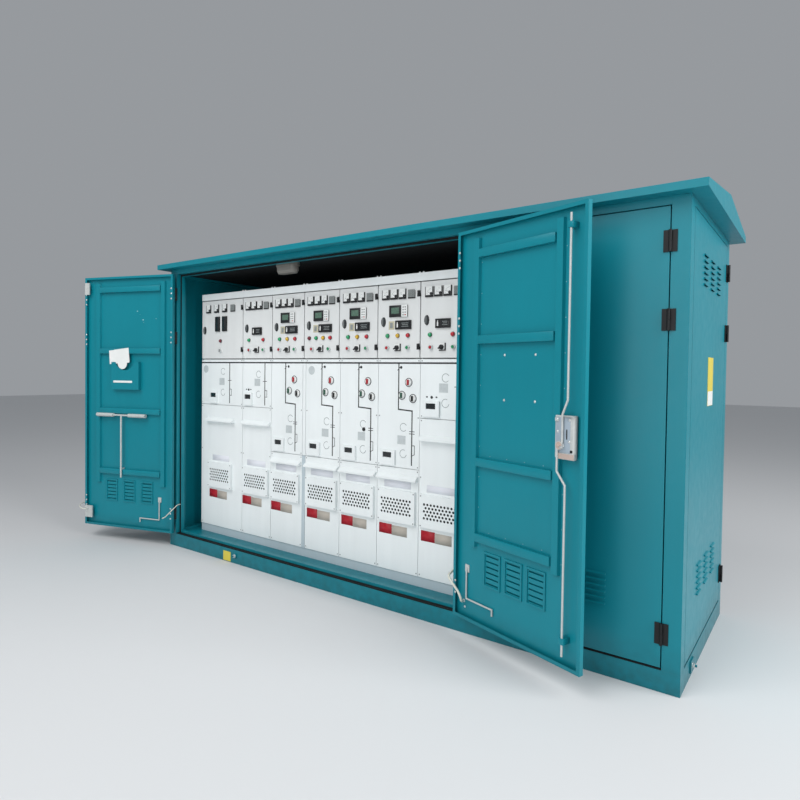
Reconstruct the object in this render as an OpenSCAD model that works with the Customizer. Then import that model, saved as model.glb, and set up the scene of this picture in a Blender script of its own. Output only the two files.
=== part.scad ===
/* [Cabinet body] */
// Length of the cabinet along its front
body_w = 3800; // [3600:10:4400]
// Depth from the front face to the back face
body_d = 1160; // [1100:10:1400]
// Height of the eave above the ground
body_h = 2200; // [2180:10:2400]
// Height of the plinth channel
base_h = 98; // [80:1:120]
// Width of the plinth channel flanges
base_flange = 50; // [40:1:58]
// Thickness of the plinth channel steel
base_t = 6; // [4:1:8]
// Width of a post on the front
post_w = 80; // [70:1:100]
// Depth of a post
post_d = 60; // [52:1:80]

/* [Roof] */
// How far the roof reaches past the walls
roof_over = 75; // [50:1:110]
// Height of the straight edge of the roof
fascia_h = 36; // [30:1:60]
// Rise from the straight edge to the ridge
ridge_rise = 86; // [50:1:140]
// Thickness of the roof sheet
roof_t = 3; // [2:0.5:5]

/* [Door leaves] */
// Width of each of the two folding leaves on the left
left_leaf_w = 880; // [800:5:930]
// Width of the middle leaf
mid_leaf_w = 823; // [780:1:860]
// Depth of a leaf's folded edge
leaf_t = 25; // [22:1:28]
// Thickness of the sheet
sheet_t = 2; // [1.5:0.5:3]
// Gap around a leaf
leaf_gap = 5; // [5:0.5:7]
// Space between the plinth and the leaves
leaf_foot = 12; // [11:1:20]
// How far the left leaf stands open
left_open = 163; // [150:1:165]
// How far the folding leaf is swung past the left leaf
fold_open = 145; // [120:1:150]
// How far the middle leaf stands open
mid_open = 162; // [150:1:165]
// Distance of a hinge pin in front of the face
pin_out = 12; // [11:1:16]
// Width of the stiffening channels
rib_w = 46; // [36:2:56]
// Depth of the stiffening channels
rib_d = 17; // [12:1:18]

/* [Louvres] */
// Width of one pressed louvre
louvre_w = 92; // [70:1:110]
// Radius of a louvre's hood
louvre_r = 9; // [7:0.5:12]
// Spacing of the louvres above one another
louvre_pitch = 28; // [24:1:34]
// Number of louvres in one column
louvre_rows = 6; // [4:1:7]
// Height of the lowest louvre above the ground
louvre_z = 336; // [320:1:400]

/* [Switchgear row] */
// Distance of the row behind the front face
row_y = 190; // [170:1:230]
// Distance of the row from the left face
row_x = 140; // [120:1:160]
// Width of the first bay
first_bay_w = 505; // [450:1:560]
// Width of each further bay
bay_w = 321; // [310:1:326]
// Width of the joint between the two units of the row
joint_w = 30; // [24:1:36]
// Distance of the row's back from the back face of the cabinet
row_back = 190; // [150:5:240]
// Height of the underside of the row's panels
panel_z0 = 165; // [150:1:180]
// Height where the low voltage boxes start
lv_z0 = 1494; // [1450:1:1520]
// Height of the top of the low voltage boxes
lv_z1 = 2016; // [1980:1:2040]
// Depth of the low voltage boxes
lv_d = 360; // [300:10:420]
// Height of the plain strip over the compartment doors
lv_head = 50; // [40:1:60]
// Seam between two panels
seam = 3; // [2:0.5:4]
// Spacing of the holes in the vent boxes
hole_pitch = 24; // [22:1:30]
// Radius of the holes in the vent boxes
hole_r = 7.5; // [5:0.5:9]
// Depth of a pressed front panel
pan_d = 25; // [20:1:30]

/* [Hidden] */
$fn = 32;

paint = [0.35, 0.50, 0.47];
row_paint = [0.85, 0.86, 0.84];
zinc = [0.62, 0.64, 0.65];
dark = [0.08, 0.08, 0.09];
eps = 0.01;

// Front frame, worked out from the posts, the leaves and their gaps
leaf_z0 = base_h + leaf_foot;
header_h = 37;
header_z = body_h - header_h;
leaf_h = header_z - leaf_gap - leaf_z0;
lip = 15;
lip_y = leaf_t + 7;
open_w = 2 * left_leaf_w + mid_leaf_w + 4 * leaf_gap;
mid_post_x = post_w + open_w;
right_leaf_x = mid_post_x + post_w + leaf_gap;
right_leaf_w = body_w - post_w - leaf_gap - right_leaf_x;
sill_h = 25;
ceiling_t = 3;
ceiling_z = body_h - 35;
rear_leaf_w = (body_w - 3 * post_w - 6 * leaf_gap) / 4;
end_leaf_w = body_d - 2 * post_w - 2 * leaf_gap;
end_vent_pitch = 200;
end_vent_drop = 170;
end_plate_w = 157;
end_plate_h = 246;
end_plate_x = 427;
end_plate_z = 1152;

// Hinges
hinge_h = 96;
hinge_w = 29;
hinge_plate = 4;
barrel_r = 7;
pin_r = 3.5;
pin_fit = 0.3;
hinge_inset = 154;
hinge_drop = 345;
hinge_zs = [leaf_z0 + hinge_inset, leaf_z0 + leaf_h - hinge_inset - hinge_drop,
    leaf_z0 + leaf_h - hinge_inset];
left_pin_x = post_w + leaf_gap / 2;
mid_pin_x = mid_post_x - leaf_gap / 2;
end_pin_x = body_d - post_w - leaf_gap / 2;

// Row of bays
tall_z = 817;
short_z = 1135;
bay_count = 6;
row_w = first_bay_w + bay_count * bay_w + joint_w;
row_d = body_d - row_y - row_back;
housing_y = row_y + pan_d;
box_inset = 18;
box_h = 202;
box_d = 20;
box_z = tall_z - 139 - box_h;
hood_d = 30;
hood_h = 34;
tall_hood_drop = 74;
short_hood_drop = 135;
window_h = 94;
window_rise = 12;
knob_places = [[bay_w - 85, lv_z0 - 144], [bay_w - 135, lv_z0 - 225], [bay_w - 53, lv_z0 - 242]];

// Compartment doors
lvd_t = 18;
lvd_gap = 7;
lvd_h = lv_z1 - lv_head - lv_z0 - 2 * lvd_gap;
lvd_z0 = lv_z0 + lvd_gap;
lvd_pin = 9;
lvd_pin_inset = 7;
lvd_barrel_r = 4;
lvd_pin_r = 2;
lvd_strap = 2;
lvd_strap_x = -1.7;
lvd_hinge_h = 36;
lvd_hinge_inset = 68;
lv_wall = 3;
lv_front = row_y + lvd_t + lvd_gap;
meter_z = lv_z0 + 370;
meter_size = [56, 62];
meter_pitch = 64;
screen_z = lv_z0 + 261;
relay_z = lv_z0 + 183;
breaker_z = lv_z0 + 221;
lock_z = lv_z0 + 233;
lamp_z = lv_z0 + 145;
switch_z = lv_z0 + 70;

function bay_x(i) = row_x + (i == 0 ? 0 : first_bay_w + (i - 1) * bay_w) + (i > 2 ? joint_w : 0);
function bay_width(i) = i == 0 ? first_bay_w : bay_w;
function bay_end(i) = bay_x(i) + bay_width(i);
function is_tall(i) = i > 1 && i < 6;
function panel_split(i) = is_tall(i) ? tall_z : short_z;

// The compartment doors share the row's width evenly, over the joint too
lv_w = (row_w - first_bay_w) / bay_count;
function lv_x(i) = row_x + (i == 0 ? 0 : first_bay_w + (i - 1) * lv_w);
function lv_width(i) = i == 0 ? first_bay_w : lv_w;
function lv_end(i) = lv_x(i) + lv_width(i);

module at_corner() translate([-body_w / 2, -body_d / 2, 0]) children();

// One plain block given by its low corner and its size
module block(x, y, z, sx, sy, sz) translate([x, y, z]) cube([sx, sy, sz]);

// A straight round bar between two heights
module rod_z(x, y, z0, z1, r) translate([x, y, z0]) cylinder(r = r, h = z1 - z0);

// The hollow cut behind a louvre, with its slot through the sheet
module louvre_slot(w, t) translate([-w / 2 + 2, -eps, 0]) cube([w - 4, t + 2 * eps, louvre_r - 2]);

// A pressed louvre: a quarter-round hood that is open underneath
module louvre_hood(w) {
    difference() {
        translate([-w / 2, 0, 0]) rotate([0, 90, 0]) cylinder(r = louvre_r, h = w);
        translate([-w / 2 + 1.5, 0, 0]) rotate([0, 90, 0]) cylinder(r = louvre_r - 1.5, h = w - 3);
        translate([-w, 0, -2 * louvre_r]) cube([2 * w, 2 * louvre_r, 4 * louvre_r]);
        translate([-w, -2 * louvre_r, -2 * louvre_r]) cube([2 * w, 3 * louvre_r, 2 * louvre_r]);
    }
}

// Columns of louvres on the plane y = 0, facing -y
module louvre_grid(xs, z0) {
    for (x = xs, k = [0 : louvre_rows - 1])
        translate([x, 0, z0 + k * louvre_pitch]) children();
}

// A folded pan: skin outside, edges turned in and a narrow inner lip
module pan(w, h, t, edge) {
    difference() {
        cube([w, t, h]);
        translate([sheet_t, sheet_t, sheet_t]) cube([w - 2 * sheet_t, t, h - 2 * sheet_t]);
    }
    difference() {
        translate([0, t - sheet_t, 0]) cube([w, sheet_t, h]);
        translate([edge, t - 2 * sheet_t, edge]) cube([w - 2 * edge, 3 * sheet_t, h - 2 * edge]);
    }
}

// Outline of a hat-shaped stiffening channel
module hat_outline() {
    bevel = 5;
    polygon([[-rib_w / 2, 0], [-rib_w / 2 + bevel, rib_d], [rib_w / 2 - bevel, rib_d], [rib_w / 2, 0],
        [rib_w / 2 - 2, 0], [rib_w / 2 - bevel - 1.6, rib_d - 2], [-rib_w / 2 + bevel + 1.6, rib_d - 2],
        [-rib_w / 2 + 2, 0]]);
}

// Stiffening channels on the inside of a leaf: two uprights and cross pieces between them
module rib_ladder(u0, u1, z0, z1, cross) {
    for (u = [u0, u1])
        translate([u, sheet_t, z0]) linear_extrude(z1 - z0) hat_outline();
    for (z = cross)
        translate([u0 + rib_w / 2, sheet_t, z]) rotate([90, 0, 90])
            linear_extrude(u1 - u0 - rib_w) hat_outline();
}

// A door leaf with louvres, its hinge edge at x = 0
module leaf(w, vent_pitch) {
    vents = [w / 2 - vent_pitch, w / 2, w / 2 + vent_pitch];
    vent_z = louvre_z - leaf_z0;
    difference() {
        pan(w, leaf_h, leaf_t, 18);
        louvre_grid(vents, vent_z) louvre_slot(louvre_w, sheet_t);
    }
    louvre_grid(vents, vent_z) louvre_hood(louvre_w);
}

// Frames round the louvre columns on the inside of a leaf
module vent_frames(w, vent_pitch) {
    frame_w = louvre_w + 26;
    frame_h = (louvre_rows - 1) * louvre_pitch + louvre_r + 30;
    for (x = [w / 2 - vent_pitch, w / 2, w / 2 + vent_pitch])
        translate([x - frame_w / 2, sheet_t, louvre_z - leaf_z0 - 15]) difference() {
            cube([frame_w, 6, frame_h]);
            translate([10, -1, 10]) cube([frame_w - 20, 8, frame_h - 20]);
        }
}

// Places a leaf that hangs on a left-hand pin: its pin at x, opened by an angle
module hang_left(pin_x, angle) {
    translate([pin_x, -pin_out, leaf_z0]) rotate([0, 0, -angle])
        translate([leaf_gap / 2, pin_out, 0]) children();
}

// Places a leaf that hangs on a right-hand pin and is drawn mirrored
module hang_right(pin_x, angle) {
    translate([pin_x, -pin_out, leaf_z0]) rotate([0, 0, angle])
        translate([-leaf_gap / 2, pin_out, 0]) mirror([1, 0, 0]) children();
}

// The fixed half of a surface hinge, with its pin; the plate lies towards +x
module hinge_fixed() {
    translate([0, pin_out - hinge_plate, -hinge_h / 2]) cube([hinge_w, hinge_plate, hinge_h]);
    difference() {
        union() {
            translate([0, 0, -hinge_h / 2]) cylinder(r = barrel_r, h = hinge_h / 2 - 0.5);
            translate([0, 0, -hinge_h / 2]) cube([barrel_r, pin_out - 1, hinge_h / 2 - 0.5]);
        }
        translate([-barrel_r, pin_out - hinge_plate, -hinge_h]) cube([barrel_r, 20, 2 * hinge_h]);
    }
    translate([0, 0, -1]) cylinder(r = pin_r, h = hinge_h / 2 - 3);
}

// The moving half of a surface hinge; the plate lies towards -x
module hinge_moving() {
    difference() {
        union() {
            translate([-hinge_w, pin_out - hinge_plate, -hinge_h / 2])
                cube([hinge_w - leaf_gap / 2, hinge_plate, hinge_h]);
            translate([0, 0, 0.5]) cylinder(r = barrel_r, h = hinge_h / 2 - 0.5);
            translate([-barrel_r, 0, 0.5]) cube([barrel_r, pin_out - 1, hinge_h / 2 - 0.5]);
        }
        translate([-leaf_gap / 2, pin_out - hinge_plate, -hinge_h]) cube([20, 20, 2 * hinge_h]);
        translate([0, 0, -1]) cylinder(r = pin_r + pin_fit, h = hinge_h / 2 - 1);
    }
}

module base_frame() color(paint) at_corner() {
    inner = base_flange - base_t;
    difference() {
        cube([body_w, body_d, base_h]);
        translate([base_t, base_t, base_t])
            cube([body_w - 2 * base_t, body_d - 2 * base_t, base_h - 2 * base_t]);
        translate([base_flange, base_flange, -1])
            cube([body_w - 2 * base_flange, body_d - 2 * base_flange, base_h + 2]);
    }
    for (k = [1 : 3])
        block(k * body_w / 4 - 25, base_t, 0, 50, body_d - 2 * base_t, base_h - base_t);
}

module floor_plate() color(zinc) at_corner()
    block(post_d, post_d, base_h, body_w - 2 * post_d, body_d - 2 * post_d, 4);

// One corner post: a front part and a wider stop behind the leaf
module corner_post() {
    cube([post_w, lip_y + eps, body_h - base_h]);
    translate([0, lip_y, 0]) cube([post_w + lip, post_d - lip_y, body_h - base_h]);
}

module posts() color(paint) at_corner() translate([0, 0, base_h]) {
    corner_post();
    translate([body_w, 0, 0]) mirror([1, 0, 0]) corner_post();
    translate([0, body_d, 0]) mirror([0, 1, 0]) corner_post();
    translate([body_w, body_d, 0]) mirror([1, 0, 0]) mirror([0, 1, 0]) corner_post();
    translate([mid_post_x, 0, 0]) {
        cube([post_w, lip_y + eps, header_z - lip - base_h]);
        cube([post_w, lip_y, header_z - base_h]);
        translate([-lip, lip_y, 0])
            cube([post_w + 2 * lip, post_d - lip_y, header_z - lip - base_h]);
    }
}

// Header: a box behind the eave with a stop that hangs behind the leaves
module header_outline() {
    polygon([[0, header_z], [0, body_h], [post_d, body_h], [post_d, header_z - lip],
        [lip_y, header_z - lip], [lip_y, header_z]]);
}

module header(x0, x1) {
    translate([x0, 0, 0]) rotate([90, 0, 90]) linear_extrude(x1 - x0) header_outline();
}

module front_header() color(paint) at_corner() difference() {
    header(post_w, body_w - post_w);
    block(0, lip_y - 1, header_z - 2 * lip, post_w + lip, post_d, 2 * lip + header_h + 1);
    block(body_w - post_w - lip, lip_y - 1, header_z - 2 * lip, post_w + lip, post_d,
        2 * lip + header_h + 1);
}

module front_sill() color(paint) at_corner() {
    block(post_w + lip, lip_y, base_h, open_w - 2 * lip, post_d - lip_y, sill_h);
    block(mid_post_x + post_w + lip, lip_y, base_h,
        body_w - mid_post_x - 2 * post_w - 2 * lip, post_d - lip_y, sill_h);
}

// Places what is drawn for the right end, where x runs from the front to the back
module at_right_end() translate([body_w, 0, 0]) rotate([0, 0, 90]) children();

module at_left_end() translate([body_w, 0, 0]) mirror([1, 0, 0]) at_right_end() children();

// Rubber strips round one door opening, on the face of its stops
module seal_frame(x, w) {
    seal = 2;
    block(x, 3, base_h, w, lip_y - 3, leaf_foot - 5);
    block(x + lip, lip_y - seal, header_z - lip, w - 2 * lip, seal, lip);
    for (x1 = [x, x + w - lip])
        block(x1, lip_y - seal, base_h + leaf_foot - 5, lip, seal, header_z - base_h - leaf_foot + 5);
}

module door_gaskets() color(dark) at_corner() {
    seal_frame(post_w, open_w);
    seal_frame(mid_post_x + post_w, body_w - mid_post_x - 2 * post_w);
    at_right_end() seal_frame(post_w, body_d - 2 * post_w);
    at_left_end() seal_frame(post_w, body_d - 2 * post_w);
}

// Frame of an end door: jambs beside the posts, a header and a sill with their stops
module end_frame() {
    for (m = [0, 1])
        translate([m * body_d, 0, base_h]) mirror([m, 0, 0]) {
            translate([post_d, 0, 0]) cube([post_w - post_d, lip_y + eps, body_h - base_h]);
            translate([post_d, lip_y, 0]) cube([post_w - post_d + lip, post_d - lip_y, body_h - base_h]);
        }
    difference() {
        header(post_w, body_d - post_w);
        for (x = [0, body_d - post_w - lip])
            block(x, lip_y - 1, header_z - 2 * lip, post_w + lip, post_d, 2 * lip + header_h + 1);
    }
    block(post_w + lip, lip_y, base_h, body_d - 2 * post_w - 2 * lip, post_d - lip_y, sill_h);
}

// End door: a folded pan with two groups of louvres, its hinge edge at x = 0
module end_leaf() {
    vents = [for (k = [-1 : 1]) end_leaf_w / 2 + k * end_vent_pitch];
    low_z = louvre_z - leaf_z0 + 20;
    high_z = leaf_h - end_vent_drop - (louvre_rows - 1) * louvre_pitch;
    difference() {
        pan(end_leaf_w, leaf_h, leaf_t, 18);
        for (z0 = [low_z, high_z]) louvre_grid(vents, z0) louvre_slot(louvre_w, sheet_t);
    }
    for (z0 = [low_z, high_z]) louvre_grid(vents, z0) louvre_hood(louvre_w);
}

module left_wall() color(paint) at_corner() at_left_end() end_frame();

module right_wall() color(paint) at_corner() at_right_end() end_frame();

module left_end_door() color(paint) at_corner() at_left_end() hang_right(end_pin_x, 0) end_leaf();

module right_end_door() color(paint) at_corner() at_right_end() hang_right(end_pin_x, 0) end_leaf();

module right_end_hinges() color(dark) at_corner() at_right_end()
    for (z = hinge_zs) translate([end_pin_x, -pin_out, z]) hinge_moving();

module right_marker_plate() color("gold") at_corner() at_right_end()
    hang_right(end_pin_x, 0)
        block(end_leaf_w - end_plate_x - end_plate_w, -1.5, end_plate_z, end_plate_w, 1.5, end_plate_h);

module rear_frame() color(paint) at_corner() translate([0, body_d, 0]) mirror([0, 1, 0]) {
    difference() {
        header(post_w, body_w - post_w);
        block(0, lip_y - 1, header_z - 2 * lip, post_w + lip, post_d, 2 * lip + header_h + 1);
        block(body_w - post_w - lip, lip_y - 1, header_z - 2 * lip, post_w + lip, post_d,
            2 * lip + header_h + 1);
    }
    block(post_w + lip, lip_y, base_h, body_w / 2 - post_w * 1.5 - 2 * lip, post_d - lip_y, sill_h);
    block(body_w / 2 + post_w / 2 + lip, lip_y, base_h, body_w / 2 - post_w * 1.5 - 2 * lip,
        post_d - lip_y, sill_h);
    block(body_w / 2 - post_w / 2, 0, base_h, post_w, lip_y, header_z - base_h);
    block(body_w / 2 - post_w / 2 - lip, lip_y, base_h, post_w + 2 * lip, post_d - lip_y,
        header_z - lip - base_h);
}

module rear_leaf_pair() {
    leaf(rear_leaf_w, 180);
    translate([2 * rear_leaf_w + leaf_gap, 0, 0]) mirror([1, 0, 0]) leaf(rear_leaf_w, 180);
}

module rear_doors() color(paint) at_corner() translate([body_w, body_d, leaf_z0]) rotate([0, 0, 180]) {
    translate([post_w + leaf_gap, 0, 0]) rear_leaf_pair();
    translate([body_w / 2 + post_w / 2 + leaf_gap, 0, 0]) rear_leaf_pair();
}

module ceiling() color(dark) at_corner()
    block(post_d, post_d, ceiling_z, body_w - 2 * post_d, body_d - 2 * post_d, ceiling_t);

// Section of the gabled roof sheet with its straight edges
module roof_outline() {
    half = body_d / 2 + roof_over;
    polygon([[-half, 0], [-half, fascia_h], [0, fascia_h + ridge_rise], [half, fascia_h], [half, 0]]);
}

module roof_inner() {
    half = body_d / 2 + roof_over - roof_t;
    polygon([[-half, roof_t], [-half, fascia_h - roof_t / 2], [0, fascia_h + ridge_rise - roof_t],
        [half, fascia_h - roof_t / 2], [half, roof_t]]);
}

module roof() color(paint) translate([0, 0, body_h]) {
    full = body_w + 2 * roof_over;
    difference() {
        translate([-full / 2, 0, 0]) rotate([90, 0, 90]) linear_extrude(full) roof_outline();
        translate([-full / 2 + roof_t, 0, 0]) rotate([90, 0, 90])
            linear_extrude(full - 2 * roof_t) roof_inner();
    }
}

module interior_lamp() color("white") at_corner() {
    lamp_l = 200;
    lamp_h = 72;
    translate([1190, 130, ceiling_z]) mirror([0, 0, 1]) {
        hull() for (s = [-1, 1]) translate([s * (lamp_l - 90) / 2, 0, 0]) cylinder(r = 45, h = 22);
        hull() for (s = [-1, 1]) translate([s * (lamp_l - 90) / 2, 0, 22]) {
            cylinder(r = 38, h = lamp_h - 40);
            cylinder(r = 28, h = lamp_h - 22);
        }
    }
}

module surface_hinges() color(dark) at_corner() {
    for (z = hinge_zs) {
        translate([left_pin_x, -pin_out, z]) {
            mirror([1, 0, 0]) hinge_fixed();
            rotate([0, 0, -left_open]) mirror([1, 0, 0]) hinge_moving();
        }
        translate([0, 0, z - leaf_z0]) hang_left(left_pin_x, left_open)
            translate([left_leaf_w + leaf_gap / 2, -pin_out, 0]) {
                mirror([1, 0, 0]) hinge_fixed();
                rotate([0, 0, -fold_open]) mirror([1, 0, 0]) hinge_moving();
            }
        translate([mid_pin_x, -pin_out, z]) hinge_fixed();
        at_right_end() translate([end_pin_x, -pin_out, z]) hinge_fixed();
        at_left_end() translate([end_pin_x, -pin_out, z]) {
            hinge_fixed();
            hinge_moving();
        }
        translate([body_w - post_w - leaf_gap / 2, -pin_out, z]) {
            hinge_fixed();
            hinge_moving();
        }
        for (x = [post_w + leaf_gap / 2, body_w / 2 + post_w / 2 + leaf_gap / 2])
            translate([x, body_d + pin_out, z]) rotate([0, 0, 180]) {
                hinge_fixed();
                hinge_moving();
            }
        for (x = [body_w / 2 - post_w / 2 - leaf_gap / 2, body_w - post_w - leaf_gap / 2])
            translate([x, body_d + pin_out, z]) rotate([0, 0, 180]) mirror([1, 0, 0]) {
                hinge_fixed();
                hinge_moving();
            }
    }
}

// A surface lock with a turning handle, on the outside of a leaf
module swing_handle() {
    translate([-18, -8, 0]) cube([36, 8, 190]);
    translate([-11, -20, 25]) cube([22, 8, 150]);
    translate([0, -8 + eps, 150]) rotate([90, 0, 0]) cylinder(r = 9, h = 5);
}

module right_door() color(paint) at_corner() translate([body_w - post_w - leaf_gap, 0, leaf_z0])
    mirror([1, 0, 0]) {
        leaf(right_leaf_w, 180);
        translate([right_leaf_w - 70, 0, 950]) swing_handle();
    }

module left_door() color(paint) at_corner() hang_left(left_pin_x, left_open) {
    leaf(left_leaf_w, 178);
    rib_ladder(100, left_leaf_w - 130, 360, leaf_h - 50, [458, 956, 1444, leaf_h - 105]);
    vent_frames(left_leaf_w, 178);
}

module folding_door() color(paint) at_corner() hang_left(left_pin_x, left_open)
    translate([left_leaf_w + leaf_gap / 2, -pin_out, 0]) rotate([0, 0, -fold_open])
        translate([leaf_gap / 2, pin_out, 0]) {
            leaf(left_leaf_w, 178);
            rib_ladder(130, left_leaf_w - 100, 360, leaf_h - 50, [458, 956, 1444, leaf_h - 105]);
            vent_frames(left_leaf_w, 178);
        }

// A hook stay: an eye plate on the leaf, a cranked rod and its drop end
module hook_stay(u, run_z) {
    run_y = sheet_t + 8;
    rod_r = 4.5;
    block(u - 15, sheet_t, run_z + 140, 30, 4, 40);
    rod_z(u, run_y, run_z, run_z + 158, rod_r);
    translate([u, run_y, run_z]) rotate([0, 90, 0]) cylinder(r = rod_r, h = 190);
    rod_z(u + 190, run_y, run_z - 32, run_z + 4, rod_r);
}

// A stud on the skin that an earth lead ends on
module lead_stud(u, z) translate([u, sheet_t, z]) rotate([-90, 0, 0]) cylinder(r = 5, h = 10);

// Operating lever kept on the leaf: a cross bar with two grips, a shaft and clips that hold them
module operating_lever(u) {
    bar_y = leaf_t + 10;
    grip_r = 15;
    bar_z = 922;
    shaft_end = 415;
    translate([u - 245, bar_y, bar_z]) rotate([0, 90, 0]) cylinder(r = 7, h = 490);
    for (g = [u - 245, u + 75])
        translate([g, bar_y, bar_z]) rotate([0, 90, 0]) cylinder(r = grip_r, h = 170);
    rod_z(u, bar_y, shaft_end, bar_z, 7);
    for (c = [u - 50, u + 50])
        block(c - 8, sheet_t, bar_z - 5, 16, bar_y - sheet_t - 6, 10);
    block(u - 5, sheet_t, shaft_end + 60, 10, bar_y - sheet_t - 6, 16);
}

module left_door_fittings() color(zinc) at_corner() hang_left(left_pin_x, left_open) {
    operating_lever(left_leaf_w / 2 + 55);
    hook_stay(134, 92);
    block(left_leaf_w - 52, leaf_t, leaf_h - 140, 44, 10, 96);
    block(left_leaf_w - 84, leaf_t, 61, 76, 10, 96);
    lead_stud(84, 117);
    translate([0, leaf_t + 8, 0]) lead_stud(839, 132);
    translate([left_leaf_w + leaf_gap / 2, -pin_out, 0]) rotate([0, 0, -fold_open])
        translate([leaf_gap / 2, pin_out, 0]) lead_stud(40, 128);
}

// A sheet metal pocket with a dished front edge
module document_pocket() color(paint) at_corner() hang_left(left_pin_x, left_open) {
    pocket_w = 274;
    pocket_h = 223;
    pocket_d = 30;
    translate([324, sheet_t, 1131]) difference() {
        cube([pocket_w, pocket_d, pocket_h]);
        translate([2, 2, 2]) cube([pocket_w - 4, pocket_d - 4, pocket_h]);
        translate([pocket_w / 2, pocket_d - 10, pocket_h + 40]) rotate([-90, 0, 0]) cylinder(r = 105, h = 20);
    }
}

module earth_terminals() color(zinc) at_corner() {
    translate([802, 0, 56]) rotate([90, 0, 0]) {
        cylinder(r = 22, h = 6);
        cylinder(r = 6, h = 24);
    }
    translate([body_w, 250, 50]) rotate([0, 90, 0]) {
        translate([-28, -35, 0]) cube([56, 70, 6]);
        cylinder(r = 6, h = 26);
    }
}

module marker_plates() color("gold") at_corner() block(670, -1.5, 5, 84, 1.5, 70);

// A round lead swept along its points, with a flat end at each side
lead_sides = 8;
function along(p, i) = p[min(i + 1, len(p) - 1)] - p[max(i - 1, 0)];
function unit(v) = v / norm(v);
function ring(p, i, r) =
    let (t = unit(along(p, i)), a = unit(cross(t, [0.31, 0.17, 0.93])), b = cross(t, a))
        [for (k = [0 : lead_sides - 1])
            p[i] + r * (cos(360 * k / lead_sides) * a + sin(360 * k / lead_sides) * b)];

module lead(p, r) {
    n = lead_sides;
    last = len(p) - 1;
    points = [for (i = [0 : last]) each ring(p, i, r)];
    sides = [for (i = [0 : last - 1], k = [0 : n - 1])
        let (a = i * n + k, b = i * n + (k + 1) % n, c = b + n, d = a + n) each [[a, b, c], [a, c, d]]];
    first_end = [for (k = [n - 1 : -1 : 0]) k];
    last_end = [for (k = [0 : n - 1]) last * n + k];
    polyhedron(points, concat([first_end], sides, [last_end]));
}

// Routes of the two fixed earth leads: from the post to the left leaf, and over the fold
post_lead = [[88, 29.6, 330], [90, 12, 330], [97, -10, 326], [104, -34, 314], [102, -58, 296],
    [88, -76, 272], [68, -86, 250], [46, -90, 236], [26, -88, 229], [12.6, -79, 227],
    [6.9, -60.6, 227]];
fold_lead = [[839, 45.3, 132], [840, 56, 132], [850, 66, 134], [868, 71, 139], [888, 68, 146],
    [906, 57, 153], [919, 38, 160], [926, 15, 165], [926, -10, 166], [921, -33, 162],
    [910, -53, 154], [895, -67, 144], [880, -72, 134], [867.3, -64.4, 128.5], [861.8, -56.5, 128]];
lead_r = 4;

module earth_leads() color("green") at_corner() {
    lead(post_lead, lead_r);
    hang_left(left_pin_x, left_open) lead(fold_lead, lead_r);
}

module row_plinth() color(zinc) at_corner() {
    block(row_x, row_y + 6, base_h + 4, row_w, row_d - 12, panel_z0 - base_h - 4);
    block(bay_end(2), row_y - 2, panel_z0, joint_w, pan_d, tall_z - panel_z0);
}

module row_left() color(row_paint) at_corner()
    block(row_x, housing_y, panel_z0, bay_end(2) - row_x, row_d - pan_d, lv_z0 - panel_z0);

module row_right() color(row_paint) at_corner()
    block(bay_x(3), housing_y, panel_z0, bay_end(bay_count) - bay_x(3), row_d - pan_d, lv_z0 - panel_z0);

// Fixed part of a compartment hinge: a strap through the gap, a knuckle and its pin
module compartment_hinge_fixed(i) {
    for (z = [lvd_z0 + lvd_hinge_inset, lvd_z0 + lvd_h - lvd_hinge_inset])
        translate([lv_end(i), row_y - lvd_pin, z - lvd_hinge_h / 2]) {
            translate([lvd_strap_x, -2, 0])
                cube([lvd_strap, lv_front - row_y + lvd_pin + 2, lvd_hinge_h / 2 - 0.5]);
            translate([-lvd_pin_inset, -2, 0])
                cube([lvd_pin_inset + lvd_strap_x + lvd_strap, 4, lvd_hinge_h / 2 - 0.5]);
            translate([-lvd_pin_inset, 0, 0]) {
                cylinder(r = lvd_barrel_r, h = lvd_hinge_h / 2 - 0.5);
                cylinder(r = lvd_pin_r, h = lvd_hinge_h - 3);
            }
        }
}

// Moving part of a compartment hinge: a plate on the door and a knuckle over the pin
module compartment_hinge_moving(i) {
    for (z = [lvd_z0 + lvd_hinge_inset, lvd_z0 + lvd_h - lvd_hinge_inset])
        translate([lv_end(i) - lvd_pin_inset, row_y - lvd_pin, z - lvd_hinge_h / 2]) difference() {
            union() {
                translate([-17, lvd_pin - 3, 0]) cube([17 + lvd_pin_inset - lvd_gap / 2, 3, lvd_hinge_h]);
                translate([-lvd_barrel_r, 0, lvd_hinge_h / 2 + 0.5])
                    cube([2 * lvd_barrel_r, lvd_pin - 1, lvd_hinge_h / 2 - 0.5]);
                translate([0, 0, lvd_hinge_h / 2 + 0.5])
                    cylinder(r = lvd_barrel_r, h = lvd_hinge_h / 2 - 0.5);
            }
            translate([0, 0, -1]) cylinder(r = lvd_pin_r + pin_fit, h = lvd_hinge_h - 1);
        }
}

// Housing of the low voltage compartments, open at the front
module low_voltage_housing() color(row_paint) at_corner() {
    block(row_x, lv_front, lv_z0, row_w, lv_d, lv_wall);
    block(row_x, lv_front, lv_z1 - lv_wall, row_w, lv_d, lv_wall);
    block(row_x, lv_front + lv_d - lv_wall, lv_z0, row_w, lv_wall, lv_z1 - lv_z0);
    for (i = [0 : bay_count])
        block(lv_x(i), lv_front, lv_z0, lv_wall, lv_d, lv_z1 - lv_z0);
    for (i = [0 : bay_count])
        block(lv_end(i) - lv_wall, lv_front, lv_z0, lv_wall, lv_d, lv_z1 - lv_z0);
    block(row_x, row_y, lv_z1 - lv_head, row_w, lv_front - row_y + lv_wall, lv_head);
}

module compartment_hinges() color(dark) at_corner()
    for (i = [0 : bay_count]) compartment_hinge_fixed(i);

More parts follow.
